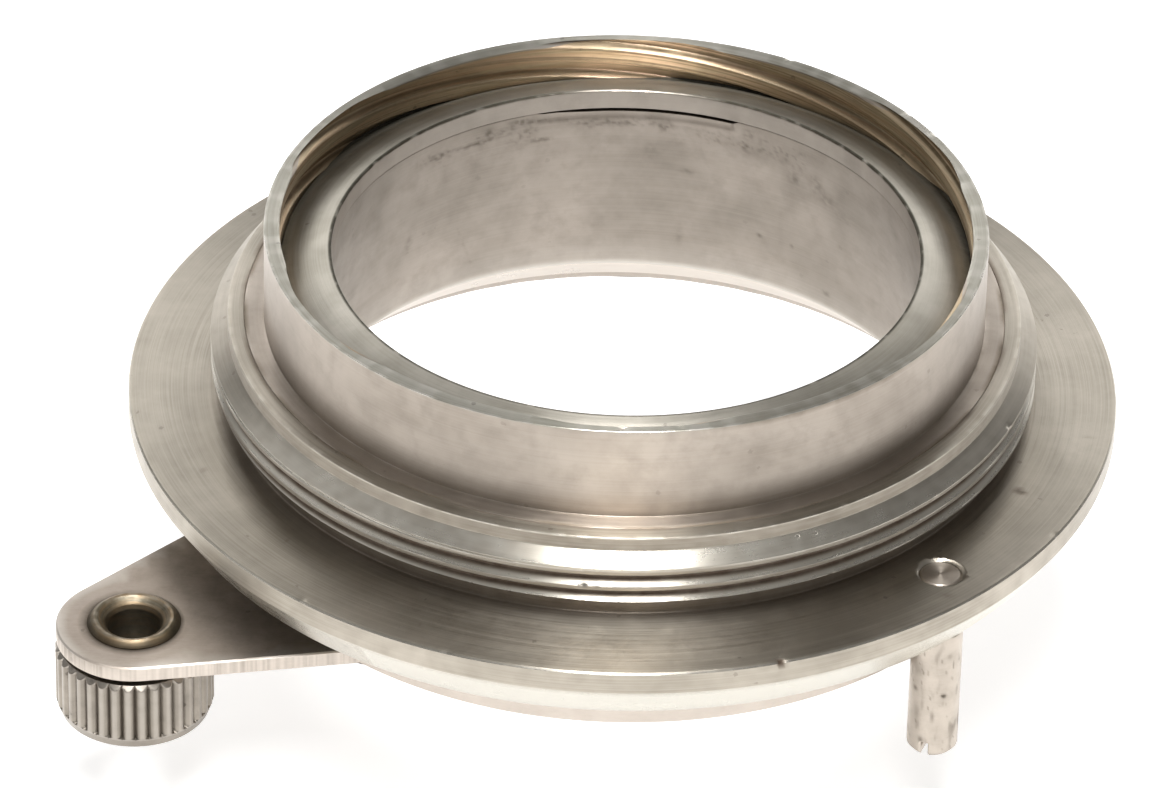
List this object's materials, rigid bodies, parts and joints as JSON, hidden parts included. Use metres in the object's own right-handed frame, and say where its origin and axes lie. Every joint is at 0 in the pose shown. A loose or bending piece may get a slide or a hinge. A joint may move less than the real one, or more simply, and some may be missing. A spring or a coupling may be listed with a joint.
{
  "type": "enlarger lens focusing mount",
  "caption": "Flanged focusing mount for an enlarger lens: threaded neck, multi-start helicoid tube, lever arm with knurled knob and stop pin.",
  "frame": {"origin": "optical axis at the flange's seating face, where the threaded neck starts", "axes": "+Z along the optical axis out of the threaded neck, -Y towards the viewer, the lever arm points to -X and -Y"},
  "size_m": [0.0613, 0.058, 0.023],
  "materials": {
    "nickel_brass": "satin nickel plate, worn",
    "raw_brass": "turned brass",
    "steel": "brushed"
  },
  "bodies": {
    "mount": {"mount_flange": "nickel_brass", "helicoid_collar": "nickel_brass", "stop_pin": "steel"},
    "sleeve_slide": {"bore_sleeve": "nickel_brass"},
    "focus_tube": {"helicoid_tube": "nickel_brass", "lever_plate": "nickel_brass", "knob_eyelet": "raw_brass", "rivet_washer": "raw_brass"},
    "knob": {"focus_knob": "nickel_brass"}
  },
  "joints": [
    {"name": "focus_slide", "type": "slide", "parent": "mount", "child": "sleeve_slide", "axis": [0, 0, 1], "range_m": [-0.00605, 0.00255]},
    {"name": "focus_turn", "type": "hinge", "parent": "sleeve_slide", "child": "focus_tube", "pos_m": [0, 0, 0], "axis": [0, 0, 1], "range_deg": [-180, 75]},
    {"name": "knob_spin", "type": "hinge", "parent": "focus_tube", "child": "knob", "pos_m": [-0.02773, -0.01657, -0.00985], "axis": [0, 0, 1], "continuous": true}
  ],
  "couplings": [
    {"joint": "focus_slide", "follows": "focus_turn", "m_per_rad": 0.0019099}
  ]
}
